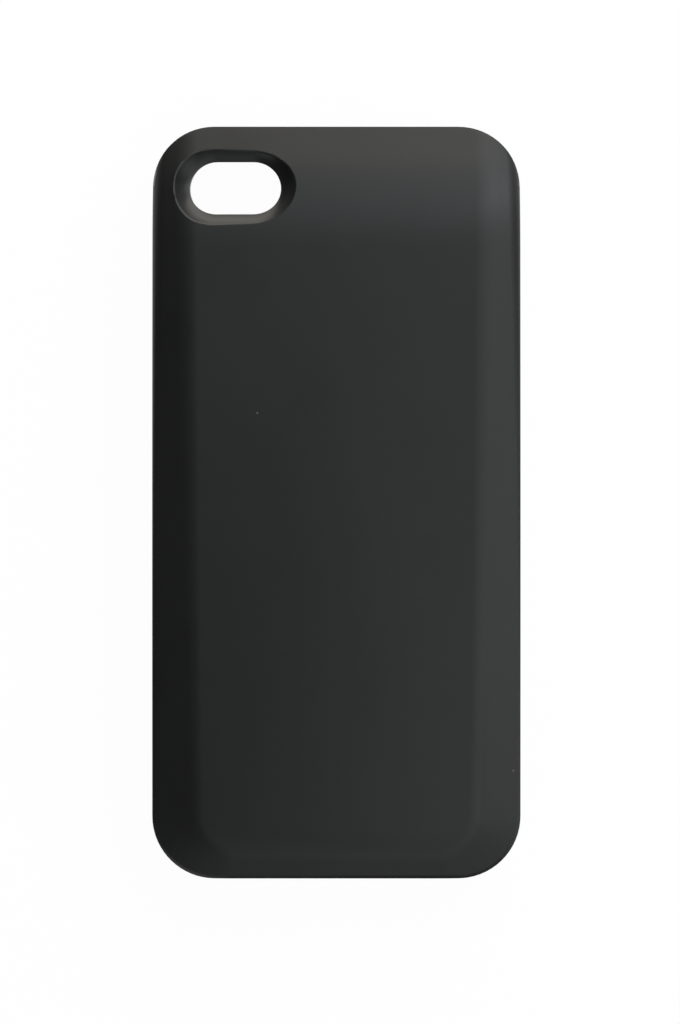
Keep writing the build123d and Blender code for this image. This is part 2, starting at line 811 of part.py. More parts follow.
# Status lights on the board and the clear guide that takes their light to the bottom end
with BuildPart() as status_leds:
    with BuildSketch(Plane.XY.offset(board_back_z)):
        with Locations((led_row_x, board_end_y + led_depth / 2)):
            with GridLocations(led_pitch, 1, led_count, 1):
                Rectangle(led_width, led_depth)
    extrude(amount=led_height)
status_leds.part.label = "status_leds"

with BuildPart() as light_guide:
    with BuildSketch(Plane.XZ.offset(-inner_end_y)):
        with Locations((led_row_x, port_axis_z)):
            Rectangle((led_count - 1) * led_pitch + guide_diameter + 2 * guide_bar_margin, guide_bar_height)
    extrude(amount=-guide_bar_depth)
    with BuildSketch(Plane.XZ.offset(-inner_end_y)):
        with Locations((led_row_x, port_axis_z)):
            with GridLocations(led_pitch, 1, led_count, 1):
                Circle(guide_diameter / 2)
    extrude(amount=end_wall - guide_recess)
light_guide.part.label = "light_guide"

# Chips, inductor and capacitors on the board's back side
with BuildPart() as charge_controller:
    with BuildSketch(Plane.XY.offset(board_back_z)):
        with Locations((controller_x, board_top_y - board_gap)):
            Rectangle(controller_size, controller_size, align=(Align.CENTER, Align.MAX))
    extrude(amount=controller_height)
charge_controller.part.label = "charge_controller"

with BuildPart() as boost_converter:
    with BuildSketch(Plane.XY.offset(board_back_z)):
        with Locations((converter_x, board_top_y - board_gap)):
            Rectangle(converter_size, converter_size, align=(Align.CENTER, Align.MAX))
    extrude(amount=converter_height)
boost_converter.part.label = "boost_converter"

with BuildPart() as boost_inductor:
    with BuildSketch(Plane.XY.offset(board_back_z)):
        with Locations((inductor_x, board_middle_y)):
            RectangleRounded(inductor_size, inductor_size, inductor_corner)
    extrude(amount=inductor_height)
boost_inductor.part.label = "boost_inductor"

with BuildPart() as capacitors:
    with BuildSketch(Plane.XY.offset(board_back_z)):
        with Locations(*[(x, board_top_y - capacitor_wall_gap) for x in capacitor_xs]):
            Rectangle(capacitor_length, capacitor_width)
    extrude(amount=capacitor_height)
capacitors.part.label = "capacitors"

# Screws: countersunk ones hold the tray, pan heads hold the board
with BuildPart() as tray_screws:
    with Locations(*tray_screw_spots):
        add(tray_screw)
tray_screws.part.label = "tray_screws"

with BuildPart() as board_screws:
    with BuildSketch(Plane.XY.offset(board_front_z)):
        with Locations(*post_spots):
            Circle(board_screw_head / 2)
    extrude(amount=-board_screw_head_height)
    with BuildSketch(Plane.XY.offset(board_front_z)):
        with Locations(*post_spots):
            Circle(board_screw_diameter / 2)
    extrude(amount=board_thickness + board_screw_bite)
board_screws.part.label = "board_screws"

pieces = (
    rear_cover,
    inner_tray,
    battery_cell,
    battery_tape,
    cell_protection_board,
    cell_tabs,
    battery_lead_positive,
    battery_lead_negative,
    main_board,
    dock_plug_housing,
    dock_plug_shell,
    dock_plug_tongue,
    dock_plug_contacts,
    usb_shell,
    usb_tongue,
    usb_contacts,
    power_button,
    switch_body,
    switch_plunger,
    status_leds,
    light_guide,
    charge_controller,
    boost_converter,
    boost_inductor,
    capacitors,
    tray_screws,
    board_screws,
)

os.makedirs("parts", exist_ok=True)
for piece in pieces:
    export_step(piece.part, f"parts/{piece.part.label}.step")
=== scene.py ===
"""Battery charging case: surface finishes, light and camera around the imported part.

The case lies on its open front with its back up. Lengths are in metres: X runs across the case, Y runs
towards the camera end and Z runs up through the back.
"""

from __future__ import annotations

import json
import logging
import math
from abc import ABC, abstractmethod
from dataclasses import dataclass, field
from enum import Enum
from typing import Any, ClassVar

import bmesh
import bpy
import numpy as np
from mathutils import Matrix, Vector

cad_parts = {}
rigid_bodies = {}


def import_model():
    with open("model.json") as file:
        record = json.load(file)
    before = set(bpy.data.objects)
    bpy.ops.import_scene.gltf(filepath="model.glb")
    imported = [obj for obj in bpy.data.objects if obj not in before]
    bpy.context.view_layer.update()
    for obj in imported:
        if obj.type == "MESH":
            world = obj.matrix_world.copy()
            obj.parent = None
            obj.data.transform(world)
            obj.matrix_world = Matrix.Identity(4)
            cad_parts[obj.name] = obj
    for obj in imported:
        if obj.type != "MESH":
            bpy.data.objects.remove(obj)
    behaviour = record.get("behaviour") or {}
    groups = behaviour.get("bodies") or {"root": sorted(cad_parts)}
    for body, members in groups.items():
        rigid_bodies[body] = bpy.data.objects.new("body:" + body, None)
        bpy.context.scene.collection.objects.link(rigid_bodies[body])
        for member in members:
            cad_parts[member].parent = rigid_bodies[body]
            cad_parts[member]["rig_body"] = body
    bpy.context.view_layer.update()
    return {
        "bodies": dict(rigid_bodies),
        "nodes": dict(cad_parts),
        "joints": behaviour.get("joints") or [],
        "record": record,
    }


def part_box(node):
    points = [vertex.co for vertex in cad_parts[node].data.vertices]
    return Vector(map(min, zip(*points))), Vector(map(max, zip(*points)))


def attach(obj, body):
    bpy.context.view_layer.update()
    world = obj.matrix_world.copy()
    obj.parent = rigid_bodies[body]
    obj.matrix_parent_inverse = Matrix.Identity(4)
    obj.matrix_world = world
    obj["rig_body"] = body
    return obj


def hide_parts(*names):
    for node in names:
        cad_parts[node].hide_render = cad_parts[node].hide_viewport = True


LOG = logging.getLogger("charging_case")
MM = 0.001
# Most values of a noise texture lie between these two.
NOISE_LOW, NOISE_HIGH = 0.3, 0.7
# Vertices closer than this are merged into one.
WELD = 0.002 * MM
# Keeps a length that others are divided by off zero.
TINY = 1e-9

Colour = tuple[float, float, float]
Frame = dict[str, Any]


class Ray(Enum):
    """Kinds of ray that see the floor as plain white, by their socket on the Light Path node."""

    CAMERA = "Is Camera Ray"
    GLOSSY = "Is Glossy Ray"
    TRANSMISSION = "Is Transmission Ray"


class Axis(Enum):
    """Direction that a metal was rolled or drawn in, by its place in a vector."""

    ALONG = 1
    UP = 2


class Graph:
    """A shader node tree that is filled node by node."""

    def __init__(self, tree: bpy.types.NodeTree) -> None:
        """Keeps the tree that the nodes go into."""
        self.tree = tree

    def add(self, kind: str, inputs: dict[str | int, Any] | None = None, **settings: Any) -> bpy.types.Node:
        """Adds a node, sets it and links or fills its inputs.

        Args:
            kind: The node's type name.
            inputs: Sockets to link, or values to set, by input name or number.
            **settings: Properties of the node itself.

        Returns:
            The new node.
        """
        node = self.tree.nodes.new(kind)
        for name, value in settings.items():
            setattr(node, name, value)
        self.feed(node, inputs or {})
        return node

    def feed(self, node: bpy.types.Node, inputs: dict[str | int, Any]) -> None:
        """Links or fills inputs of a node.

        Args:
            node: The node.
            inputs: Sockets to link, or values to set, by input name or number.
        """
        for key, value in inputs.items():
            if isinstance(value, bpy.types.NodeSocket):
                self.tree.links.new(value, node.inputs[key])
            else:
                node.inputs[key].default_value = value

    def place(self) -> bpy.types.NodeSocket:
        """Gives the surface's place in the part's own frame."""
        return self.add("ShaderNodeTexCoord").outputs["Object"]

    def math(self, operation: str, *values: Any) -> bpy.types.NodeSocket:
        """Adds a Math node.

        Args:
            operation: The sum that it works out.
            *values: Its operands, sockets or numbers.

        Returns:
            Its value socket.
        """
        return self.add("ShaderNodeMath", dict(enumerate(values)), operation=operation).outputs[0]

    def noise(self, vector: bpy.types.NodeSocket, scale: Any, **settings: float) -> bpy.types.NodeSocket:
        """Adds a noise texture.

        Args:
            vector: Where it is read.
            scale: Its scale, a socket or a number per metre.
            **settings: Other inputs, by name.

        Returns:
            Its value socket.
        """
        inputs = {"Vector": vector, "Scale": scale} | settings
        return self.add("ShaderNodeTexNoise", inputs).outputs[0]

    def blend(self, factor: Any, first: Any, second: Any) -> bpy.types.NodeSocket:
        """Mixes two colours.

        Args:
            factor: Share of the second colour.
            first: Colour or socket at share 0.
            second: Colour or socket at share 1.

        Returns:
            The mixed colour's socket.
        """
        return self.add("ShaderNodeMix", {0: factor, 6: first, 7: second}, data_type="RGBA").outputs[2]

    def steps(self, value: Any, low: float, high: float, first: float, last: float) -> bpy.types.NodeSocket:
        """Maps a value smoothly from one range to another.

        Args:
            value: Socket to map.
            low: Start of its range.
            high: End of its range.
            first: Result at the start.
            last: Result at the end.

        Returns:
            The mapped value's socket.
        """
        inputs = {0: value, 1: low, 2: high, 3: first, 4: last}
        return self.add("ShaderNodeMapRange", inputs, interpolation_type="SMOOTHSTEP").outputs[0]

    def bump(self, strength: float, distance: float, height: bpy.types.NodeSocket) -> bpy.types.NodeSocket:
        """Adds a Bump node.

        Args:
            strength: Share of the full effect.
            distance: Height of the relief.
            height: Socket that gives the relief.

        Returns:
            Its normal socket.
        """
        inputs = {"Strength": strength, "Distance": distance, "Height": height}
        return self.add("ShaderNodeBump", inputs).outputs[0]


def opaque(colour: Colour, share: float = 1.0) -> tuple[float, float, float, float]:
    """Gives a colour, darkened by a share, with full alpha."""
    return (*(part * share for part in colour), 1.0)


def new_material(name: str) -> tuple[bpy.types.Material, Graph, bpy.types.Node]:
    """Makes a material with one Principled shader.

    Args:
        name: The material's name.

    Returns:
        The material, its graph and its Principled node.
    """
    material = bpy.data.materials.new(name)
    material.use_nodes = True
    return material, Graph(material.node_tree), material.node_tree.nodes["Principled BSDF"]


@dataclass(frozen=True)
class SharedEffects:
    """Node groups that several finishes place with values of their own."""

    SMUDGE_FROM: ClassVar[float] = 0.48
    SMUDGE_FULL: ClassVar[float] = 0.75
    DUST_FREE: ClassVar[float] = 0.985
    SPECK_CORE: ClassVar[float] = 0.02
    SPECK_RIM: ClassVar[float] = 0.06

    grain: bpy.types.NodeTree
    wear: bpy.types.NodeTree

    @classmethod
    def create(cls) -> SharedEffects:
        """Builds each group once."""
        return cls(grain=cls._grain_group(), wear=cls._wear_group())

    @staticmethod
    def _group(name: str, inputs: dict[str, float], outputs: tuple[str, ...]) -> bpy.types.NodeTree:
        """Makes an empty group with value sockets.

        Args:
            name: The group's name.
            inputs: Input names with their first values.
            outputs: Output names.

        Returns:
            The group.
        """
        group = bpy.data.node_groups.new(name, "ShaderNodeTree")
        for label, value in inputs.items():
            socket = group.interface.new_socket(label, in_out="INPUT", socket_type="NodeSocketFloat")
            socket.default_value = value
        for label in outputs:
            group.interface.new_socket(label, in_out="OUTPUT", socket_type="NodeSocketFloat")
        return group

    @classmethod
    def _grain_group(cls) -> bpy.types.NodeTree:
        """Makes the fine moulded grain: a height for Bump and a slow change of tone.

        Returns:
            The group.
        """
        group = cls._group("moulded_grain", {"Scale": 9000.0, "Cloud Scale": 60.0}, ("Height", "Tone"))
        graph = Graph(group)
        start = graph.add("NodeGroupInput")
        place = graph.place()
        fine = graph.noise(place, start.outputs["Scale"], Detail=2.0, Roughness=0.6)
        cloud = graph.noise(place, start.outputs["Cloud Scale"], Detail=3.0)
        tone = graph.steps(cloud, NOISE_LOW, NOISE_HIGH, 0.0, 1.0)
        graph.add("NodeGroupOutput", {"Height": fine, "Tone": tone})
        return group

    @classmethod
    def _wear_group(cls) -> bpy.types.NodeTree:
        """Makes the handling marks: faint finger smudges and sparse specks of dust.

        Returns:
            The group.
        """
        group = cls._group("handling_marks", {"Smudge Scale": 45.0, "Dust Scale": 300.0}, ("Smudge", "Dust"))
        graph = Graph(group)
        start = graph.add("NodeGroupInput")
        place = graph.place()
        patches = graph.noise(place, start.outputs["Smudge Scale"], Detail=5.0, Distortion=0.6)
        smudge = graph.steps(patches, cls.SMUDGE_FROM, cls.SMUDGE_FULL, 0.0, 1.0)
        cells = graph.add("ShaderNodeTexVoronoi", {"Vector": place, "Scale": start.outputs["Dust Scale"]})
        pick = graph.add("ShaderNodeSeparateColor", {"Color": cells.outputs["Color"]}).outputs[0]
        rare = graph.math("GREATER_THAN", pick, cls.DUST_FREE)
        spot = graph.steps(cells.outputs["Distance"], cls.SPECK_CORE, cls.SPECK_RIM, 1.0, 0.0)
        graph.add("NodeGroupOutput", {"Smudge": smudge, "Dust": graph.math("MULTIPLY", rare, spot)})
        return group


@dataclass(frozen=True)
class Finish(ABC):
    """What a piece is made of."""

    name: str
    colour: Colour

    def material(self, effects: SharedEffects) -> bpy.types.Material:
        """Builds the material.

        Args:
            effects: The shared node groups.

        Returns:
            The finished material.
        """
        material, graph, shader = new_material(self.name)
        graph.feed(shader, self.inputs(graph, effects))
        return material

    @abstractmethod
    def inputs(self, graph: Graph, effects: SharedEffects) -> dict[str, Any]:
        """Adds the nodes of this finish.

        Args:
            graph: The material's graph.
            effects: The shared node groups.

        Returns:
            What the Principled shader is fed, by input name.
        """


@dataclass(frozen=True)
class Plastic(Finish):
    """Moulded plastic with a fine grain, handling marks and a little dust."""

    roughness: float
    grain_scale: float = 9000.0
    grain_depth: float = 0.04 * MM
    bump: float = 0.12
    tone_swing: float = 0.06
    marks: float = 0.0
    smudge_shine: float = 0.05
    dust_cover: float = 0.4
    dust_colour: Colour = (0.3, 0.29, 0.27)
    specular: float = 0.5

    def inputs(self, graph: Graph, effects: SharedEffects) -> dict[str, Any]:
        """Adds the nodes of this finish.

        Args:
            graph: The material's graph.
            effects: The shared node groups.

        Returns:
            What the Principled shader is fed, by input name.
        """
        grain = graph.add("ShaderNodeGroup", {"Scale": self.grain_scale}, node_tree=effects.grain)
        wear = graph.add("ShaderNodeGroup", node_tree=effects.wear)
        dark, light = (opaque(self.colour, 1.0 + swing) for swing in (-self.tone_swing, self.tone_swing))
        toned = graph.blend(grain.outputs["Tone"], dark, light)
        dust = graph.math("MULTIPLY", wear.outputs["Dust"], self.dust_cover * self.marks)
        smudge = graph.math("MULTIPLY", wear.outputs["Smudge"], self.smudge_shine * self.marks)
        return {
            "Base Color": graph.blend(dust, toned, opaque(self.dust_colour)),
            "Roughness": graph.math("SUBTRACT", self.roughness, smudge),
            "Normal": graph.bump(self.bump, self.grain_depth, grain.outputs["Height"]),
            "Specular IOR Level": self.specular,
        }


@dataclass(frozen=True)
class Metal(Finish):
    """Plated or bare metal with fine drawing marks and a little tarnish."""

    roughness: float
    drawn: Axis = Axis.ALONG
    streak: float = 0.06
    line_scale: float = 6000.0
    drawn_scale: float = 250.0
    line_bump: float = 0.06
    line_depth: float = 0.01 * MM
    cloud_scale: float = 400.0
    tarnish: float = 0.84

    def inputs(self, graph: Graph, effects: SharedEffects) -> dict[str, Any]:
        """Adds the nodes of this finish.

        Args:
            graph: The material's graph.
            effects: The shared node groups.

        Returns:
            What the Principled shader is fed, by input name.
        """
        stretch = [self.line_scale] * 3
        stretch[self.drawn.value] = self.drawn_scale
        turned = graph.add("ShaderNodeMapping", {"Vector": graph.place(), "Scale": stretch}).outputs[0]
        lines = graph.noise(turned, 1.0, Detail=2.0)
        grain = graph.add("ShaderNodeGroup", {"Cloud Scale": self.cloud_scale}, node_tree=effects.grain)
        low, high = self.roughness - self.streak, self.roughness + self.streak
        dull = opaque(self.colour, self.tarnish)
        return {
            "Base Color": graph.blend(grain.outputs["Tone"], opaque(self.colour), dull),
            "Roughness": graph.steps(lines, NOISE_LOW, NOISE_HIGH, low, high),
            "Normal": graph.bump(self.line_bump, self.line_depth, lines),
            "Metallic": 1.0,
        }


@dataclass(frozen=True)
class PouchFoil(Finish):
    """Laminated foil of the cell, dull and slightly crinkled."""

    roughness: float
    shine: float = 0.05
    dullness: float = 0.08
    shade: float = 0.92
    fold_scale: float = 220.0
    fold_bump: float = 0.35
    fold_depth: float = 0.2 * MM

    def inputs(self, graph: Graph, effects: SharedEffects) -> dict[str, Any]:
        """Adds the nodes of this finish.

        Args:
            graph: The material's graph.
            effects: The shared node groups.

        Returns:
            What the Principled shader is fed, by input name.
        """
        folds = graph.noise(graph.place(), self.fold_scale, Detail=4.0, Distortion=1.2)
        grain = graph.add("ShaderNodeGroup", node_tree=effects.grain)
        low, high = self.roughness - self.shine, self.roughness + self.dullness
        shaded = opaque(self.colour, self.shade)
        return {
            "Base Color": graph.blend(grain.outputs["Tone"], opaque(self.colour), shaded),
            "Roughness": graph.steps(folds, NOISE_LOW, NOISE_HIGH, low, high),
            "Normal": graph.bump(self.fold_bump, self.fold_depth, folds),
            "Metallic": 1.0,
        }


@dataclass(frozen=True)
class SolderMask(Finish):
    """Circuit board: coloured mask over copper tracks, with tinned pads."""

    track_colour: Colour
    pad_colour: Colour = (0.55, 0.54, 0.5)
    shade: float = 0.85
    smooth: float = 0.28
    rough: float = 0.36
    track_scale: float = 420.0
    track_width: float = 0.06
    track_blur: float = 0.3
    pad_scale: float = 700.0
    pad_scatter: float = 0.6
    pad_core: float = 0.2
    pad_rim: float = 0.26
    pad_free: float = 0.8
    relief_bump: float = 0.3
    relief_depth: float = 0.03 * MM

    def inputs(self, graph: Graph, effects: SharedEffects) -> dict[str, Any]:
        """Adds the nodes of this finish.

        Args:
            graph: The material's graph.
            effects: The shared node groups.

        Returns:
            What the Principled shader is fed, by input name.
        """
        place = graph.place()
        bricks = {
            "Vector": place,
            "Scale": self.track_scale,
            "Mortar Size": self.track_width,
            "Mortar Smooth": self.track_blur,
        }
        tracks = graph.add("ShaderNodeTexBrick", bricks).outputs["Fac"]
        spread = {"Vector": place, "Scale": self.pad_scale, "Randomness": self.pad_scatter}
        cells = graph.add("ShaderNodeTexVoronoi", spread)
        pads = graph.steps(cells.outputs["Distance"], self.pad_core, self.pad_rim, 1.0, 0.0)
        pick = graph.add("ShaderNodeSeparateColor", {"Color": cells.outputs["Color"]}).outputs[0]
        pads = graph.math("MULTIPLY", pads, graph.math("GREATER_THAN", pick, self.pad_free))
        tone = graph.add("ShaderNodeGroup", node_tree=effects.grain).outputs["Tone"]
        mask = graph.blend(tone, opaque(self.colour), opaque(self.colour, self.shade))
        mask = graph.blend(tracks, mask, opaque(self.track_colour))
        relief = graph.math("MAXIMUM", tracks, pads)
        return {
            "Base Color": graph.blend(pads, mask, opaque(self.pad_colour)),
            "Metallic": pads,
            "Roughness": graph.steps(tone, 0.0, 1.0, self.smooth, self.rough),
            "Normal": graph.bump(self.relief_bump, self.relief_depth, relief),
        }


@dataclass(frozen=True)
class ChipCeramic(Finish):
    """Ceramic of the small capacitors, with tinned ends at their known places."""

    centres: tuple[float, ...]
    bare_half: float
    tin_colour: Colour = (0.62, 0.62, 0.6)
    shade: float = 0.85
    smooth: float = 0.38
    rough: float = 0.5
    cloud_scale: float = 900.0

    def inputs(self, graph: Graph, effects: SharedEffects) -> dict[str, Any]:
        """Adds the nodes of this finish.

        Args:
            graph: The material's graph.
            effects: The shared node groups.

        Returns:
            What the Principled shader is fed, by input name.
        """
        across = graph.add("ShaderNodeSeparateXYZ", {"Vector": graph.place()}).outputs[0]
        nearest: Any = 1.0
        for centre in self.centres:
            gap = graph.math("ABSOLUTE", graph.math("SUBTRACT", across, centre))
            nearest = graph.math("MINIMUM", nearest, gap)
        ends = graph.math("GREATER_THAN", nearest, self.bare_half)
        grain = graph.add("ShaderNodeGroup", {"Cloud Scale": self.cloud_scale}, node_tree=effects.grain)
        tone = grain.outputs["Tone"]
        body = graph.blend(tone, opaque(self.colour), opaque(self.colour, self.shade))
        return {
            "Base Color": graph.blend(ends, body, opaque(self.tin_colour)),
            "Metallic": ends,
            "Roughness": graph.steps(tone, 0.0, 1.0, self.smooth, self.rough),
        }


@dataclass(frozen=True)
class ClearPlastic(Finish):
    """Clear moulded plastic of the light guide."""

    roughness: float
    streak: float = 0.06
    clearness: float = 0.85
    index: float = 1.49

    def inputs(self, graph: Graph, effects: SharedEffects) -> dict[str, Any]:
        """Adds the nodes of this finish.

        Args:
            graph: The material's graph.
            effects: The shared node groups.

        Returns:
            What the Principled shader is fed, by input name.
        """
        tone = graph.add("ShaderNodeGroup", node_tree=effects.grain).outputs["Tone"]
        return {
            "Base Color": opaque(self.colour),
            "Roughness": graph.steps(tone, 0.0, 1.0, self.roughness, self.roughness + self.streak),
            "Transmission Weight": self.clearness,
            "IOR": self.index,
        }


SOFT_TOUCH = Plastic(
    "soft_touch_black", (0.0058, 0.006, 0.00595), 0.39, bump=0.1, marks=1.0, specular=0.319
)
TRAY = Plastic("tray_black", (0.016, 0.016, 0.017), 0.42, grain_scale=4500.0, bump=0.3, marks=0.6)
BUTTON = Plastic("button_black", (0.015, 0.015, 0.016), 0.34)
CONNECTOR = Plastic("connector_black", (0.012, 0.012, 0.013), 0.38, grain_scale=3000.0, bump=0.2)
CHIP = Plastic("chip_black", (0.02, 0.02, 0.021), 0.55, grain_scale=12000.0, bump=0.3)
FERRITE = Plastic("ferrite_grey", (0.07, 0.07, 0.075), 0.6, grain_scale=5000.0, bump=0.4)
TAPE = Plastic("white_tape", (0.72, 0.72, 0.69), 0.65, grain_scale=3500.0, bump=0.4)
RED_WIRE = Plastic("red_insulation", (0.45, 0.014, 0.011), 0.4)
BLACK_WIRE = Plastic("black_insulation", (0.014, 0.014, 0.014), 0.4)
LAMP = Plastic("lamp_white", (0.75, 0.74, 0.68), 0.35)
FOIL = PouchFoil("pouch_foil", (0.66, 0.67, 0.69), 0.34)
NICKEL = Metal("nickel_strip", (0.62, 0.59, 0.54), 0.3)
STEEL = Metal("plated_steel", (0.62, 0.62, 0.62), 0.26)
GOLD = Metal("gold_contact", (0.83, 0.6, 0.26), 0.22)
SCREW = Metal("black_screw", (0.07, 0.07, 0.073), 0.38, Axis.UP)
BOARD = SolderMask("board_green", (0.012, 0.1, 0.045), (0.02, 0.16, 0.07))
CAPACITOR_CENTRES = (-20.0 * MM, -17.0 * MM, -14.0 * MM, 12.5 * MM)
CERAMIC = ChipCeramic("ceramic_tan", (0.42, 0.29, 0.18), CAPACITOR_CENTRES, 0.5 * MM)
GUIDE = ClearPlastic("clear_guide", (0.9, 0.93, 0.95), 0.12)


class Wardrobe:
    """Materials of the finishes, each built once."""

    def __init__(self, effects: SharedEffects) -> None:
        """Keeps the shared effects that the finishes use."""
        self.effects = effects
        self.made: dict[str, bpy.types.Material] = {}

    def dress(self, piece: bpy.types.Object, finish: Finish) -> None:
        """Gives a piece its finish.

        Args:
            piece: The piece.
            finish: What it is finished in.
        """
        if finish.name not in self.made:
            self.made[finish.name] = finish.material(self.effects)
        piece.data.materials.clear()
        piece.data.materials.append(self.made[finish.name])
        LOG.info("%s is finished in %s", piece.name, finish.name)


def add_piece(frame: Frame, mesh: bpy.types.Mesh, node: str) -> bpy.types.Object:
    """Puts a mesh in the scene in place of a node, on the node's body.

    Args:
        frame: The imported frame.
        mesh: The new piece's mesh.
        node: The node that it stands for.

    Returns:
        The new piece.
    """
    piece = bpy.data.objects.new(mesh.name, mesh)
    bpy.context.scene.collection.objects.link(piece)
    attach(piece, frame["nodes"][node]["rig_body"])
    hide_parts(node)
    return piece


def merged_mesh(frame: Frame, node: str, crease: float) -> bpy.types.Mesh:
    """Copies a node's mesh, joins its loose faces and shades its rounds smoothly.

    Args:
        frame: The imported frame.
        node: The node.
        crease: Angle over which an edge stays sharp.

    Returns:
        The merged mesh.
    """
    mesh = frame["nodes"][node].data.copy()
    mesh.name = f"{node}_skin"
    if "custom_normal" in mesh.attributes:
        mesh.attributes.remove(mesh.attributes["custom_normal"])
    shell = bmesh.new()
    shell.from_mesh(mesh)
    bmesh.ops.remove_doubles(shell, verts=shell.verts, dist=WELD)
    shell.to_mesh(mesh)
    shell.free()
    mesh.shade_smooth()
    mesh.set_sharp_from_angle(angle=crease)
    return mesh


def finishes(**chosen: Finish) -> Any:
    """Makes a dataclass field that holds the finish of each node."""
    return field(default_factory=lambda: dict(chosen))


@dataclass
class SubAssembly:
    """Pieces that belong together: smooth copies of the round nodes, and the flat nodes as they are."""

    name: str
    rounded: dict[str, Finish] = finishes()
    flat: dict[str, Finish] = finishes()
    crease: float = math.radians(32.0)

    def build(self, frame: Frame) -> dict[str, bpy.types.Object]:
        """Makes the smooth copies and gathers the flat nodes.

        Args:
            frame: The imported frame.

        Returns:
            Each piece, by the node that it shows.
        """
        pieces = {}
        for node in self.rounded:
            pieces[node] = add_piece(frame, merged_mesh(frame, node, self.crease), node)
        return pieces | {node: frame["nodes"][node] for node in self.flat}

    def dress(self, pieces: dict[str, bpy.types.Object], wardrobe: Wardrobe) -> None:
        """Gives each piece its finish.

        Args:
            pieces: The pieces, by node.
            wardrobe: The materials.
        """
        chosen = self.rounded | self.flat
        for node, piece in pieces.items():
            wardrobe.dress(piece, chosen[node])


@dataclass
class InnerTray(SubAssembly):
    """Floor of the phone bay with its front chin."""

    name: str = "inner tray"
    rounded: dict[str, Finish] = finishes(inner_tray=TRAY)


@dataclass
class BatteryPack(SubAssembly):
    """Pouch cell with its tape, protection board, tabs and leads."""

    name: str = "battery pack"
    rounded: dict[str, Finish] = finishes(
        battery_cell=FOIL,
        battery_lead_positive=RED_WIRE,
        battery_lead_negative=BLACK_WIRE,
    )
    flat: dict[str, Finish] = finishes(
        battery_tape=TAPE,
        cell_protection_board=BOARD,
        cell_tabs=NICKEL,
    )


@dataclass
class MainBoard(SubAssembly):
    """Circuit board in the chin with the parts soldered to it."""

    name: str = "main board"
    rounded: dict[str, Finish] = finishes(main_board=BOARD, boost_inductor=FERRITE)
    flat: dict[str, Finish] = finishes(
        charge_controller=CHIP,
        boost_converter=CHIP,
        capacitors=CERAMIC,
        switch_body=CHIP,
    )


@dataclass
class DockPlug(SubAssembly):
    """Plug that enters the phone."""

    name: str = "dock plug"
    rounded: dict[str, Finish] = finishes(dock_plug_shell=STEEL)
    flat: dict[str, Finish] = finishes(
        dock_plug_housing=CONNECTOR,
        dock_plug_tongue=CONNECTOR,
        dock_plug_contacts=GOLD,
    )


@dataclass
class ChargingSocket(SubAssembly):
    """Socket in the bottom end that the case is charged through."""

    name: str = "charging socket"
    rounded: dict[str, Finish] = finishes(usb_shell=STEEL)
    flat: dict[str, Finish] = finishes(usb_tongue=CONNECTOR, usb_contacts=GOLD)


@dataclass
class PushButton(SubAssembly):
    """Button in the bottom end with the plunger that it presses."""

    name: str = "push button"
    rounded: dict[str, Finish] = finishes(power_button=BUTTON, switch_plunger=LAMP)


@dataclass
class StatusLights(SubAssembly):
    """Row of lights and the clear guide in front of them."""

    name: str = "status lights"
    rounded: dict[str, Finish] = finishes(light_guide=GUIDE)
    flat: dict[str, Finish] = finishes(status_leds=LAMP)


def unit(vectors: np.ndarray) -> np.ndarray:
    """Brings rows of numbers to length 1."""
    return vectors / np.linalg.norm(vectors, axis=1, keepdims=True)


def read_values(items: Any, name: str, width: int) -> np.ndarray:
    """Reads one property of many mesh elements.

    Args:
        items: The mesh's elements.
        name: The property.
        width: Numbers in each value.

    Returns:
        One row of numbers an element.
    """
    values = np.empty(len(items) * width, dtype=np.float32 if width > 1 else np.int32)
    items.foreach_get(name, values)
    return values.reshape(-1, width).astype(np.float64)


@dataclass
class FaceCorners:
    """Corners of a mesh's faces, one row of numbers a corner, and the places of its vertices."""

    places: np.ndarray
    spots: np.ndarray
    owners: np.ndarray
    facing: np.ndarray
    normals: np.ndarray

    @classmethod
    def read(cls, mesh: bpy.types.Mesh) -> FaceCorners:
        """Reads the corners of a mesh.

        Args:
            mesh: The mesh.

        Returns:
            Its corners, with the face that each is on and where that face looks.
        """
        places = read_values(mesh.vertices, "co", 3)
        vertices = read_values(mesh.loops, "vertex_index", 1).astype(np.int32).ravel()
        sides = read_values(mesh.polygons, "loop_total", 1).astype(np.int32).ravel()
        owners = np.repeat(np.arange(len(sides)), sides)
        return cls(
            places=places,
            spots=places[vertices],
            owners=owners,
            facing=read_values(mesh.polygons, "normal", 3)[owners],
            normals=read_values(mesh.corner_normals, "vector", 3),
        )

    def beside(self, chosen: np.ndarray) -> np.ndarray:
        """Marks all corners of the faces that have a chosen corner."""
        return np.bincount(self.owners, chosen)[self.owners] > 0

    def along(self, normals: np.ndarray) -> np.ndarray:
        """How far the faces look the same way as some normals, from -1 to 1."""
        return np.sum(self.facing * normals, axis=1)


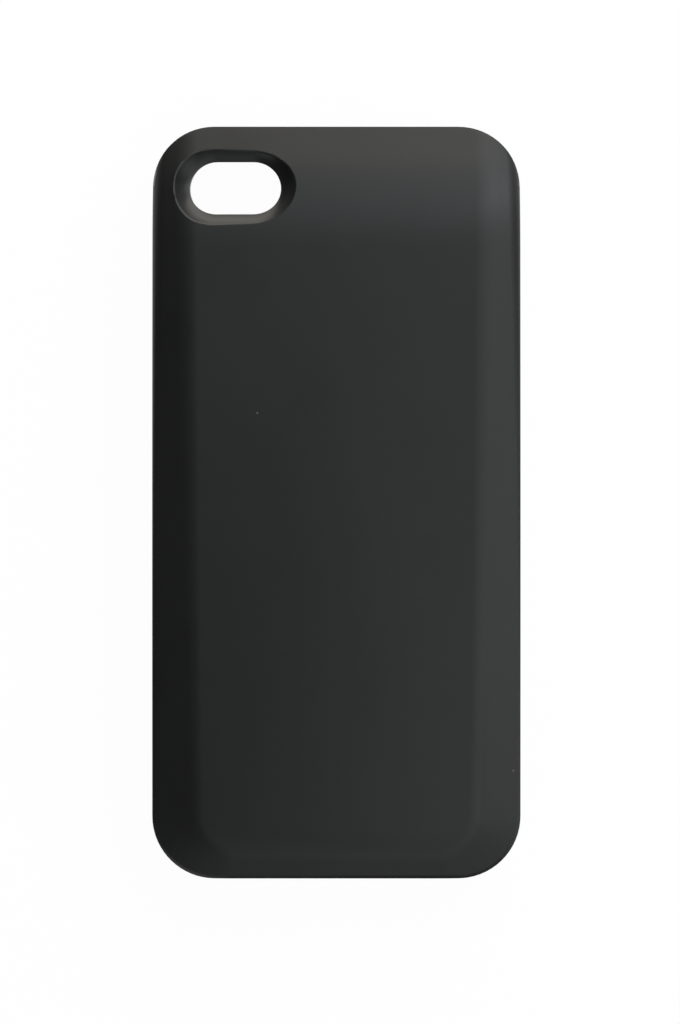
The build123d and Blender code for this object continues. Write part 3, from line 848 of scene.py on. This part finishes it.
@dataclass
class CameraMouth:
    """Flared mouth of the camera opening, an oblong hollow sunk into the crowned back."""

    centre_x: float = -17.2 * MM
    from_top: float = 10.7 * MM
    width: float = 15.55 * MM
    height: float = 9.4 * MM
    flare_width: float = 20.0 * MM
    flare_height: float = 13.9 * MM
    depth: float = 1.0 * MM
    low_depth: float = 1.0 * MM
    side_depth: float = 1.8 * MM
    top_depth: float = 1.9 * MM
    straight: float = 0.45
    slack_heights: tuple[float, ...] = (-0.9, -0.3, 0.0)
    slack_widths: tuple[float, ...] = (0.09 * MM, 0.07 * MM, 0.03 * MM)
    lowest: float = -1.2
    highest: float = 0.8 * MM
    origin: np.ndarray = field(default_factory=lambda: np.zeros(3))
    axes: np.ndarray = field(default_factory=lambda: np.eye(3))

    def settle(self, cover: RearCover) -> None:
        """Lays the mouth's plane on the back, rolled and leaning with it.

        Args:
            cover: The cover that it opens through.
        """
        y = cover.high.y - self.from_top
        middle = float(cover.height(np.array([0.0]), np.array([y]))[0])
        edge_x = self.centre_x - self.flare_width / 2
        outer = float(cover.height(np.array([edge_x]), np.array([y]))[0])
        drop = middle - outer
        bend = cover.slope_radius * math.sin(cover.slope_angle)
        lean = min(cover.slope_length - self.from_top, bend) / cover.slope_radius
        sag = self.flare_height**2 / (8 * cover.slope_radius)
        roll = drop / self.flare_width
        self.origin = np.array([self.centre_x, y, middle - (drop / 2 + sag) / 2])
        up = Vector((-roll, lean, math.sqrt(1 - lean**2))).normalized()
        across = Vector((1.0, 0.0, roll))
        across = (across - up * across.dot(up)).normalized()
        self.axes = np.array([across, up.cross(across), up])

    def locate(self, places: np.ndarray) -> tuple[np.ndarray, np.ndarray, np.ndarray]:
        """Gives places in the mouth's own axes: across, along and up.

        Args:
            places: Points near the opening.

        Returns:
            The three distances.
        """
        return tuple(self.axes @ (places - self.origin).T)

    def gap(self, places: np.ndarray) -> np.ndarray:
        """Distance of places from the mouth's outline, seen along its axis.

        Args:
            places: Points anywhere.

        Returns:
            The distances, negative inside the mouth.
        """
        u, v, _ = self.locate(places)
        past = np.maximum(np.abs(u) - (self.flare_width - self.flare_height) / 2, 0.0)
        return np.hypot(past, v) - self.flare_height / 2

    def hollow(self, places: np.ndarray) -> tuple[np.ndarray, np.ndarray, np.ndarray]:
        """Turns the straight-sided funnel into a hollow that is steepest at its outer edge.

        Args:
            places: Points of the cover.

        Returns:
            Where the points go, the hollow's unit normals there, and whether each point is on the funnel.
        """
        u, v, w = self.locate(places)
        share = np.clip(1.0 + w / self.depth, 0.0, 1.0)
        grow = (self.flare_height - self.height) / 2
        inner = (self.width - self.height) / 2
        widen = (self.flare_width - self.flare_height) / 2 - inner
        radius = self.height / 2 + (1.0 + w / self.depth) * grow
        past = np.maximum(np.abs(u) - inner - share * widen, 0.0)
        reach = np.maximum(np.hypot(past, v), TINY)
        cosine, sine = past / reach, v / reach
        lift = (self.top_depth - self.low_depth) / 2
        bulge = (self.top_depth + self.low_depth) / 2 - self.side_depth
        deep = self.side_depth + lift * sine + bulge * sine**2
        left = 1.0 - self.straight * share - (1 - self.straight) * share**2
        rise = deep * (self.straight + 2 * (1 - self.straight) * share)
        turn = -(lift + 2 * bulge * sine) * cosine * left
        side = np.sign(u)
        local = np.stack(
            [
                side * (grow * sine * turn - rise * radius * cosine),
                -rise * radius * sine - (widen + grow * cosine) * turn,
                radius * (grow + widen * cosine),
            ],
            axis=1,
        )
        slack = np.interp(w / self.depth, self.slack_heights, self.slack_widths)
        in_reach = (w > self.lowest * self.depth) & (w < self.highest)
        on_funnel = (np.abs(reach - radius) < slack) & in_reach
        sink = (deep * left - self.depth * (1.0 - share)) * on_funnel
        return places - sink[:, None] * self.axes[2], unit(local) @ self.axes, on_funnel


@dataclass
class RearCover:
    """Crowned back with its side walls, shown as a merged copy with exact surface normals."""

    node: str = "rear_cover"
    lean: float = math.radians(17.0)
    end_shoulder: float = 9.25 * MM
    end_crest: float = 8.0 * MM
    end_facet: float = 8.1 * MM
    end_edge: float = 1.5 * MM
    top_shoulder: float = 7.45 * MM
    top_facet: float = 0.65 * MM
    top_edge: float = 4.2 * MM
    edge_angle: float = math.radians(80.0)
    edge_overhang: float = 0.2 * MM
    overrun: float = 2.0 * MM
    facet_length: float = 5.5 * MM
    field_corner: float = 6.0 * MM
    corner_ease: float = 0.15 * MM
    slope_length: float = 20.2 * MM
    slope_radius: float = 40.0 * MM
    slope_angle: float = math.radians(20.5)
    corner_radius: float = 10.5 * MM
    edge_lean: float = 0.5
    reach: float = 0.1 * MM
    tilted: float = 0.05
    like_back: float = 0.55
    like_mouth: float = 0.6
    normal_step: float = 0.02 * MM
    mouth_margin: float = 0.75 * MM
    roll_width: float = 0.5 * MM
    roll_start: float = 0.03 * MM
    roll_depth: float = 0.07 * MM
    crease: float = math.radians(35.0)
    mouth: CameraMouth = field(default_factory=CameraMouth)
    low: Vector = field(default_factory=Vector)
    high: Vector = field(default_factory=Vector)

    def crest_drop(self, run: np.ndarray, radius: np.ndarray | float) -> np.ndarray:
        """Fall of a crest arc and of the facet beyond it.

        Args:
            run: Distance past the start of the arc.
            radius: The arc's radius.

        Returns:
            Height lost at each distance.
        """
        arc = radius * math.sin(self.lean)
        inside = np.clip(run, 0.0, arc)
        beyond = np.maximum(run - arc, 0.0)
        return radius - np.sqrt(radius**2 - inside**2) + beyond * math.tan(self.lean)

    def share(self, y: np.ndarray | float) -> np.ndarray | float:
        """How far each place lies on the way from the plain end to the camera end."""
        return (y - self.low.y + self.overrun) / (self.high.y - self.low.y + 2 * self.overrun)

    def side_drop(self, x: np.ndarray, y: np.ndarray) -> np.ndarray:
        """Fall of the shoulders, which turn from a facet at the plain end to a round at the camera end.

        Args:
            x: Places across the case.
            y: Places along the case.

        Returns:
            Height lost at each place.
        """
        share = self.share(y)
        edge_run = self.top_edge * (math.sin(self.edge_angle) - math.sin(self.lean))
        top_crest = (self.top_shoulder + self.edge_overhang - self.top_facet - edge_run) / math.sin(self.lean)
        run = np.abs(x) - self.high.x + self.end_shoulder + share * (self.top_shoulder - self.end_shoulder)
        crest = self.end_crest + share * (top_crest - self.end_crest)
        facet = self.end_facet + share * (self.top_facet - self.end_facet)
        edge = self.end_edge + share * (self.top_edge - self.end_edge)
        edge_start = crest * math.sin(self.lean) + facet
        past = np.maximum(run - edge_start, 0.0)
        turn = np.minimum(math.sin(self.lean) + past / edge, math.sin(self.edge_angle))
        fall = self.crest_drop(np.minimum(run, edge_start), crest)
        return fall + edge * (math.cos(self.lean) - np.sqrt(1.0 - turn**2))

    def height(self, x: np.ndarray, y: np.ndarray) -> np.ndarray:
        """Height of the back over any place.

        Args:
            x: Places across the case.
            y: Places along the case.

        Returns:
            Height of the crowned surface.
        """
        along = np.maximum(y - self.high.y + self.slope_length, 0.0)
        bend = self.slope_radius * math.sin(self.slope_angle)
        slope = self.slope_radius - np.sqrt(self.slope_radius**2 - np.minimum(along, bend) ** 2)
        slope = slope + np.maximum(along - bend, 0.0) * math.tan(self.slope_angle)
        end = self.crest_drop(self.low.y + self.facet_length - y, self.end_crest)
        corner_y = self.low.y + self.facet_length + self.field_corner
        shoulder = self.end_shoulder + self.share(corner_y) * (self.top_shoulder - self.end_shoulder)
        across = np.abs(x) - self.high.x + shoulder + self.field_corner
        turned = np.hypot(across, y - corner_y) - self.field_corner - self.corner_ease
        dome = np.where((across > 0.0) & (y < corner_y), self.crest_drop(turned, self.end_crest), 0.0)
        return self.high.z - np.maximum(np.maximum(self.side_drop(x, y) + slope, end), dome)

    def back_normals(self, x: np.ndarray, y: np.ndarray) -> np.ndarray:
        """Normals of the crowned surface.

        Args:
            x: Places across the case.
            y: Places along the case.

        Returns:
            One unit vector a place.
        """
        step = self.normal_step
        fall_x = (self.height(x + step, y) - self.height(x - step, y)) / (2 * step)
        fall_y = (self.height(x, y + step) - self.height(x, y - step)) / (2 * step)
        return unit(np.stack([-fall_x, -fall_y, np.ones_like(x)], axis=1))

    def wall_normals(self, x: np.ndarray, y: np.ndarray) -> tuple[np.ndarray, np.ndarray]:
        """Normals of the side walls, and how far each place lies from them.

        Args:
            x: Places across the case.
            y: Places along the case.

        Returns:
            One unit vector a place, and the distance from the wall.
        """
        across = np.abs(x) - self.high.x + self.corner_radius
        along = np.abs(y) - self.high.y + self.corner_radius
        out = np.stack([np.maximum(across, 0.0), np.maximum(along, 0.0)], axis=1)
        length = np.maximum(np.linalg.norm(out, axis=1), TINY)
        normals = np.zeros((len(x), 3))
        normals[:, 0] = np.sign(x) * out[:, 0] / length
        normals[:, 1] = np.sign(y) * out[:, 1] / length
        return normals, np.abs(length - self.corner_radius)

    def build(self, frame: Frame) -> bpy.types.Object:
        """Copies the node, merges its vertices and gives it exact normals.

        Args:
            frame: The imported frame.

        Returns:
            The piece that stands for the node.
        """
        self.low, self.high = (Vector(corner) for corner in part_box(self.node))
        self.mouth.settle(self)
        mesh = merged_mesh(frame, self.node, self.crease)
        self.set_normals(mesh)
        return add_piece(frame, mesh, self.node)

    def dress(self, piece: bpy.types.Object, wardrobe: Wardrobe) -> None:
        """Gives the cover its soft-touch black."""
        wardrobe.dress(piece, SOFT_TOUCH)

    def set_normals(self, mesh: bpy.types.Mesh) -> None:
        """Gives the mesh the normals of the true surface and hollows the camera mouth.

        Args:
            mesh: The merged mesh.
        """
        corners = FaceCorners.read(mesh)
        x, y, _ = corners.spots.T
        back = self.back_normals(x, y)
        self.set_outer_normals(corners, back)
        self.set_mouth_normals(corners, back)
        sunk, _, _ = self.mouth.hollow(corners.places)
        mesh.vertices.foreach_set("co", sunk.astype(np.float32).ravel())
        mesh.normals_split_custom_set(corners.normals.tolist())

    def set_outer_normals(self, corners: FaceCorners, back: np.ndarray) -> None:
        """Sets the normals of the back, of the bevels round it and of the front rim.

        Args:
            corners: Corners of the cover's faces.
            back: Normals of the crowned surface over them.
        """
        x, y, z = corners.spots.T
        normals, up = corners.normals, corners.facing[:, 2]
        wall, off_wall = self.wall_normals(x, y)
        off_mouth = self.mouth.gap(corners.spots) >= self.mouth_margin
        on_back = (np.abs(self.height(x, y) - z) < self.reach) & off_mouth
        on_wall = off_wall < self.reach / 2
        on_rim = np.abs(z - self.low.z) < self.reach / 2
        by_wall = corners.beside(on_wall)
        use_back = on_back & (corners.along(back) > self.like_back)
        bevel = corners.beside(on_back) & by_wall & (up > self.tilted) & on_wall & ~on_back
        outward = self.edge_lean * np.clip(1.0 - wall[:, 1:2], 0.0, 1.0)
        rim = by_wall & (up < -self.tilted) & (up > self.tilted - 1.0)
        rim_side = rim & on_wall & ~on_rim
        normals[use_back] = back[use_back]
        normals[bevel] = unit(back + outward * wall)[bevel]
        normals[rim_side] = wall[rim_side]
        normals[rim & on_rim] = (0.0, 0.0, -1.0)
        LOG.info("%d corners lie on the back", use_back.sum())

    def set_mouth_normals(self, corners: FaceCorners, back: np.ndarray) -> None:
        """Sets the normals of the camera mouth, and rolls the back's normals over its edge.

        Args:
            corners: Corners of the cover's faces.
            back: Normals of the crowned surface over them.
        """
        x, y, z = corners.spots.T
        depth = self.height(x, y) - z
        gap = self.mouth.gap(corners.spots)
        _, funnel, on_funnel = self.mouth.hollow(corners.spots)
        turn = np.sqrt(np.clip((depth - self.roll_start) / self.roll_depth, 0.0, 1.0))[:, None]
        turn[gap > self.roll_width] = 0.0
        turn[on_funnel] = 1.0
        rolled = unit(back * (1.0 - turn) + funnel * turn)
        near = (gap < self.mouth_margin) & (on_funnel | (np.abs(depth) < 2 * self.reach))
        use_mouth = near & (corners.along(rolled) > self.like_mouth)
        corners.normals[use_mouth] = rolled[use_mouth]
        LOG.info("%d corners lie on the camera mouth", use_mouth.sum())


class Head(Enum):
    """Shapes of screw head."""

    COUNTERSUNK = "countersunk"
    PAN = "pan"


@dataclass
class CrossScrews:
    """A set of like screws with cross recesses, heads towards the front."""

    node: str
    head: Head
    columns: int
    rows: int
    head_radius: float
    head_height: float
    shank_radius: float = 0.8 * MM
    recess_depth: float = 0.55 * MM
    wing_reach: float = 0.75 * MM
    wing_width: float = 0.3 * MM
    recess_taper: float = 0.6
    crown: float = 0.08 * MM
    point: float = 0.3 * MM
    crease: float = math.radians(30.0)

    def spots(self) -> list[Vector]:
        """Finds the centres of the head faces from the node's box.

        Returns:
            One point a screw.
        """
        low, high = (Vector(corner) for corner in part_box(self.node))
        xs = np.linspace(low.x + self.head_radius, high.x - self.head_radius, self.columns)
        ys = np.linspace(low.y + self.head_radius, high.y - self.head_radius, self.rows)
        return [Vector((x, y, low.z)) for x in xs for y in ys]

    def cross_edges(self, shell: bmesh.types.BMesh) -> list[bmesh.types.BMEdge]:
        """Draws the outline of the cross recess from its twelve corners.

        Args:
            shell: The mesh that it is drawn in.

        Returns:
            The outline's edges, as many as the head has segments.
        """
        half = self.wing_width / 2
        corners = []
        for turn in range(4):
            spin = Matrix.Rotation(turn * math.pi / 2, 3, "Z")
            for x, y in ((self.wing_reach, -half), (self.wing_reach, half), (half, half)):
                corners.append(shell.verts.new(spin @ Vector((x, y, 0.0))))
        pairs = zip(corners, corners[1:] + corners[:1], strict=True)
        edges = [shell.edges.new(pair) for pair in pairs]
        bmesh.ops.subdivide_edges(shell, edges=edges, cuts=1)
        return list(shell.edges)

    def extend(
        self, shell: bmesh.types.BMesh, edges: list[bmesh.types.BMEdge], drop: float, scale: float
    ) -> list[bmesh.types.BMEdge]:
        """Draws a ring of edges out by one step.

        Args:
            shell: The mesh.
            edges: The ring.
            drop: How far the new ring lies along the screw.
            scale: Its size against the old ring's.

        Returns:
            The new ring.
        """
        drawn = bmesh.ops.extrude_edge_only(shell, edges=edges)["geom"]
        verts = [item for item in drawn if isinstance(item, bmesh.types.BMVert)]
        bmesh.ops.scale(shell, verts=verts, vec=(scale, scale, 1.0))
        bmesh.ops.translate(shell, verts=verts, vec=(0.0, 0.0, drop))
        return [item for item in drawn if isinstance(item, bmesh.types.BMEdge)]

    def steps(self, length: float) -> list[tuple[float, float]]:
        """Lists the rings from the head's face to the tip.

        Args:
            length: The screw's whole length.

        Returns:
            Each ring's radius and depth, in order.
        """
        head, shank, crown = self.head_radius, self.shank_radius, self.crown
        rings = [(shank, self.head_height), (shank, length - self.point), (shank - self.point, length)]
        if self.head is Head.COUNTERSUNK:
            return [(head, 0.0), *rings]
        dome = [(head - 3 * crown, 0.0), (head - crown, crown), (head, 3 * crown)]
        return [*dome, (head, self.head_height), *rings]

    def add_screw(self, shell: bmesh.types.BMesh, length: float) -> None:
        """Models one screw with its head's face at the origin.

        Args:
            shell: An empty mesh.
            length: The screw's whole length.
        """
        cross = self.cross_edges(shell)
        rings = self.steps(length)
        face = bmesh.ops.create_circle(shell, segments=len(cross), radius=rings[0][0])["verts"]
        rim = list(dict.fromkeys(edge for vert in face for edge in vert.link_edges))
        bmesh.ops.bridge_loops(shell, edges=cross + rim)
        floor = self.extend(shell, cross, self.recess_depth, self.recess_taper)
        bmesh.ops.contextual_create(shell, geom=floor)
        for (radius, depth), (next_radius, next_depth) in zip(rings, rings[1:]):
            rim = self.extend(shell, rim, next_depth - depth, next_radius / radius)
        bmesh.ops.contextual_create(shell, geom=rim)

    @staticmethod
    def rank(item: bmesh.types.BMEdge | bmesh.types.BMFace, base: int) -> float:
        """Number that puts edges or faces in the order of their first vertices."""
        first = sorted(vert.index for vert in item.verts)[:4]
        return float(sum(index * base**place for place, index in enumerate(reversed(first))))

    def settle_order(self, shell: bmesh.types.BMesh) -> None:
        """Sorts edges and faces, because extrusion adds them in no fixed order.

        Args:
            shell: The mesh of one screw.
        """
        shell.verts.index_update()
        base = len(shell.verts)
        shell.edges.sort(key=lambda edge: self.rank(edge, base))
        shell.faces.sort(key=lambda face: self.rank(face, base))

    def build(self, frame: Frame) -> bpy.types.Object:
        """Builds the set.

        Args:
            frame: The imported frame.

        Returns:
            The piece that stands for the node.
        """
        low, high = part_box(self.node)
        shell = bmesh.new()
        self.add_screw(shell, high[2] - low[2])
        bmesh.ops.recalc_face_normals(shell, faces=shell.faces)
        self.settle_order(shell)
        first, *others = self.spots()
        model = list(shell.verts) + list(shell.edges) + list(shell.faces)
        for spot in others:
            copied = bmesh.ops.duplicate(shell, geom=model)["geom"]
            verts = [item for item in copied if isinstance(item, bmesh.types.BMVert)]
            bmesh.ops.translate(shell, verts=verts, vec=spot - first)
        bmesh.ops.translate(shell, verts=shell.verts, vec=first)
        mesh = bpy.data.meshes.new(f"{self.node}_skin")
        shell.to_mesh(mesh)
        shell.free()
        mesh.shade_smooth()
        mesh.set_sharp_from_angle(angle=self.crease)
        return add_piece(frame, mesh, self.node)

    def dress(self, piece: bpy.types.Object, wardrobe: Wardrobe) -> None:
        """Gives the screws their black plating."""
        wardrobe.dress(piece, SCREW)


@dataclass(frozen=True)
class SoftLamp:
    """A round soft lamp that points at the case."""

    name: str
    azimuth: float
    elevation: float
    distance: float
    radius: float
    radiance: float
    colour: Colour

    def build(self) -> bpy.types.Object:
        """Makes the lamp.

        Returns:
            The lamp, out of the camera's sight.
        """
        lamp = bpy.data.lights.new(self.name, "AREA")
        lamp.shape = "DISK"
        lamp.size = 2 * self.radius
        lamp.energy = 4 * math.pi * self.radius**2 * self.radiance
        lamp.color = self.colour
        turn, tilt = math.radians(self.azimuth), math.radians(self.elevation)
        flat = math.cos(tilt)
        side = Vector((math.cos(turn) * flat, math.sin(turn) * flat, math.sin(tilt)))
        holder = bpy.data.objects.new(self.name, lamp)
        holder.location = side * self.distance
        holder.rotation_euler = (-side).to_track_quat("-Z", "Y").to_euler()
        holder.visible_camera = False
        bpy.context.scene.collection.objects.link(holder)
        return holder


WHITE: Colour = (1.0, 1.0, 1.0)
WARM: Colour = (1.0, 0.95, 0.87)
COOL: Colour = (0.98, 1.0, 1.0)
COLD: Colour = (0.9, 0.96, 1.0)


@dataclass
class Studio:
    """White floor, lamps and camera. The world is dim but for what the camera sees of it."""

    floor_size: float = 20.0
    floor_white: float = 0.97
    floor_grey: float = 0.8
    floor_roughness: float = 0.9
    camera_height: float = 0.504
    camera_x: float = 0.616 * MM
    camera_y: float = -1.834 * MM
    view_height: float = 174.65 * MM
    silhouette_z: float = 12.0 * MM
    film_height: float = 36.0
    nearest: float = 0.01
    world_grey: float = 0.107
    lamps: tuple[SoftLamp, ...] = (
        SoftLamp("end_lamp", 84.8, 8.5, 0.663, 0.331, 4.024, WARM),
        SoftLamp("right_lamp", 341.8, 21.7, 0.721, 0.282, 1.142, COOL),
        SoftLamp("key_lamp", 65.7, 50.4, 0.878, 0.295, 1.69, COLD),
        SoftLamp("front_lamp", 292.1, 56.6, 0.682, 0.287, 0.844, COOL),
        SoftLamp("left_lamp", 238.0, 20.0, 0.9, 0.3, 1.16, COOL),
        SoftLamp("over_lamp", 21.8, 65.6, 0.831, 0.352, 0.899, COOL),
        SoftLamp("corner_lamp", 42.0, 36.0, 0.9, 0.25, 2.4, COLD),
        SoftLamp("right_fill", 0.0, 48.0, 0.9, 0.3, 0.672, COOL),
        SoftLamp("back_fill", 90.0, 66.0, 0.9, 0.25, 0.48, COLD),
        SoftLamp("corner_fill", 30.0, 16.0, 0.9, 0.22, 0.6, COOL),
    )

    def build_floor(self) -> bpy.types.Object:
        """Makes the floor that the case lies on.

        Returns:
            The floor.
        """
        mesh = bpy.data.meshes.new("floor")
        sheet = bmesh.new()
        bmesh.ops.create_grid(sheet, x_segments=1, y_segments=1, size=self.floor_size / 2)
        sheet.to_mesh(mesh)
        sheet.free()
        floor = bpy.data.objects.new("floor", mesh)
        bpy.context.scene.collection.objects.link(floor)
        material, graph, shader = new_material("white_floor")
        matte = {"Base Color": opaque(WHITE, self.floor_grey), "Roughness": self.floor_roughness}
        graph.feed(shader, matte)
        path = graph.add("ShaderNodeLightPath")
        seen = path.outputs[Ray.CAMERA.value]
        for ray in (Ray.GLOSSY, Ray.TRANSMISSION):
            seen = graph.math("MAXIMUM", seen, path.outputs[ray.value])
        glow = graph.add("ShaderNodeEmission", {"Color": opaque(WHITE), "Strength": 1.0})
        share = graph.math("MULTIPLY", seen, self.floor_white)
        both = graph.add("ShaderNodeMixShader", {0: share, 1: shader.outputs[0], 2: glow.outputs[0]})
        graph.feed(material.node_tree.nodes["Material Output"], {"Surface": both.outputs[0]})
        mesh.materials.append(material)
        return floor

    def build_light(self) -> None:
        """Sets the world and makes the lamps."""
        world = bpy.data.worlds.new("studio")
        world.use_nodes = True
        graph = Graph(world.node_tree)
        seen = graph.add("ShaderNodeLightPath").outputs[Ray.CAMERA.value]
        gain = self.floor_white - self.world_grey
        strength = graph.math("MULTIPLY_ADD", seen, gain, self.world_grey)
        sky = {"Color": opaque(WHITE), "Strength": strength}
        graph.feed(world.node_tree.nodes["Background"], sky)
        bpy.context.scene.world = world
        for lamp in self.lamps:
            LOG.info("%s is lit", lamp.build().name)

    def build_camera(self) -> bpy.types.Object:
        """Makes the camera, straight over the back.

        Returns:
            The camera.
        """
        data = bpy.data.cameras.new("camera")
        data.sensor_fit = "VERTICAL"
        data.sensor_height = self.film_height
        data.lens = self.film_height * (self.camera_height - self.silhouette_z) / self.view_height
        data.clip_start = self.nearest
        camera = bpy.data.objects.new("camera", data)
        camera.location = (self.camera_x, self.camera_y, self.camera_height)
        bpy.context.scene.collection.objects.link(camera)
        bpy.context.scene.camera = camera
        return camera


SUB_ASSEMBLIES = (InnerTray, BatteryPack, MainBoard, DockPlug, ChargingSocket, PushButton, StatusLights)
FASTENERS = (
    CrossScrews("tray_screws", Head.COUNTERSUNK, 2, 2, 1.5 * MM, 1.0 * MM),
    CrossScrews("board_screws", Head.PAN, 2, 1, 1.4 * MM, 0.8 * MM, recess_depth=0.5 * MM),
)


def main() -> None:
    """Builds the scene piece by piece."""
    logging.basicConfig(level=logging.INFO, format="%(name)s: %(message)s")
    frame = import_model()
    bpy.context.scene.view_settings.view_transform = "Standard"
    wardrobe = Wardrobe(SharedEffects.create())
    LOG.info("building the rear cover")
    cover = RearCover()
    cover.dress(cover.build(frame), wardrobe)
    for kind in SUB_ASSEMBLIES:
        group = kind()
        LOG.info("building the %s", group.name)
        group.dress(group.build(frame), wardrobe)
    for screws in FASTENERS:
        LOG.info("building the %s", screws.node)
        screws.dress(screws.build(frame), wardrobe)
    studio = Studio()
    studio.build_floor()
    studio.build_light()
    studio.build_camera()


if __name__ == "__main__":
    main()
